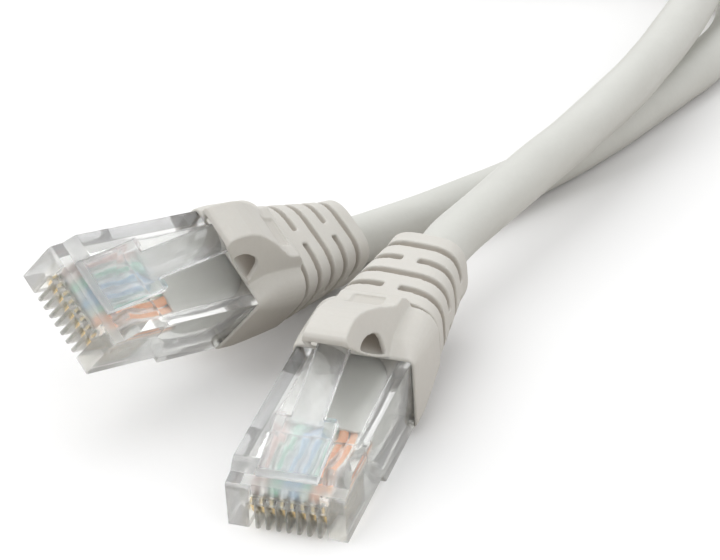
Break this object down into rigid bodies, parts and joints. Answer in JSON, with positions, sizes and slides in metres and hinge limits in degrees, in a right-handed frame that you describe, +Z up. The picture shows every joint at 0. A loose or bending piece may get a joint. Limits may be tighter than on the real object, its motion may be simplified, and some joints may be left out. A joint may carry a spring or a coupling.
{
  "type": "ethernet patch cable",
  "caption": "Light grey round network cable with a clear modular plug, moulded snagless boot and spring latch at each end, its spare length tied in a flat coil.",
  "frame": {"origin": "under the middle of the two plugs, on the surface that the cable lies on", "axes": "+Z up from that surface, +Y from the plugs' noses back towards the coil, +X across"},
  "size_m": [0.091, 0.2037, 0.0207],
  "materials": {
    "clear_plastic": "clear moulded polycarbonate, polished",
    "gold_contact": "gold-plated phosphor bronze",
    "copper": "bare stranded copper",
    "cable_jacket": "soft satin PVC, light grey",
    "boot": "satin moulded elastomer, warm light grey",
    "strap": "woven strap, light grey",
    "wire_brown": "extruded insulation",
    "wire_white_brown": "extruded insulation",
    "wire_green": "extruded insulation",
    "wire_white_blue": "extruded insulation",
    "wire_blue": "extruded insulation",
    "wire_white_green": "extruded insulation",
    "wire_orange": "extruded insulation",
    "wire_white_orange": "extruded insulation"
  },
  "bodies": {
    "cable_body": {"plug_housing_a": "clear_plastic", "copper_cores_a": "copper", "jacket_end_a": "cable_jacket", "boot_a": "boot", "contact_a1": "gold_contact", "wire_a1": "wire_brown", "contact_a2": "gold_contact", "wire_a2": "wire_white_brown", "contact_a3": "gold_contact", "wire_a3": "wire_green", "contact_a4": "gold_contact", "wire_a4": "wire_white_blue", "contact_a5": "gold_contact", "wire_a5": "wire_blue", "contact_a6": "gold_contact", "wire_a6": "wire_white_green", "contact_a7": "gold_contact", "wire_a7": "wire_orange", "contact_a8": "gold_contact", "wire_a8": "wire_white_orange", "plug_housing_b": "clear_plastic", "copper_cores_b": "copper", "jacket_end_b": "cable_jacket", "boot_b": "boot", "contact_b1": "gold_contact", "wire_b1": "wire_brown", "contact_b2": "gold_contact", "wire_b2": "wire_white_brown", "contact_b3": "gold_contact", "wire_b3": "wire_green", "contact_b4": "gold_contact", "wire_b4": "wire_white_blue", "contact_b5": "gold_contact", "wire_b5": "wire_blue", "contact_b6": "gold_contact", "wire_b6": "wire_white_green", "contact_b7": "gold_contact", "wire_b7": "wire_orange", "contact_b8": "gold_contact", "wire_b8": "wire_white_orange", "cable_run_a": "cable_jacket", "cable_coil": "cable_jacket", "cable_run_b": "cable_jacket", "cable_tie": "strap"},
    "guard_a": {"latch_guard_a": "boot"},
    "latch_a": {"plug_latch_a": "clear_plastic"},
    "guard_b": {"latch_guard_b": "boot"},
    "latch_b": {"plug_latch_b": "clear_plastic"}
  },
  "joints": [
    {"name": "guard_press_a", "type": "hinge", "parent": "cable_body", "child": "guard_a", "pos_m": [0.01102, -0.00325, 0.01145], "axis": [0.9461, -0.3239, 0], "range_deg": [0, 14], "stiffness_Nm_per_rad": 0.02},
    {"name": "latch_press_a", "type": "hinge", "parent": "cable_body", "child": "latch_a", "pos_m": [0.00365, -0.02477, 0.00607], "axis": [0.9461, -0.3239, 0], "range_deg": [-7, 0], "stiffness_Nm_per_rad": 0.01},
    {"name": "guard_press_b", "type": "hinge", "parent": "cable_body", "child": "guard_b", "pos_m": [0.00129, 0.01001, 0.01305], "axis": [0.5228, -0.6201, -0.5849], "range_deg": [0, 14], "stiffness_Nm_per_rad": 0.02},
    {"name": "latch_press_b", "type": "hinge", "parent": "cable_body", "child": "latch_b", "pos_m": [-0.01453, -0.00679, 0.01672], "axis": [0.5228, -0.6201, -0.5849], "range_deg": [-7, 0], "stiffness_Nm_per_rad": 0.01}
  ],
  "couplings": [
    {"joint": "latch_press_a", "follows": "guard_press_a", "ratio": -0.5},
    {"joint": "latch_press_b", "follows": "guard_press_b", "ratio": -0.5}
  ]
}
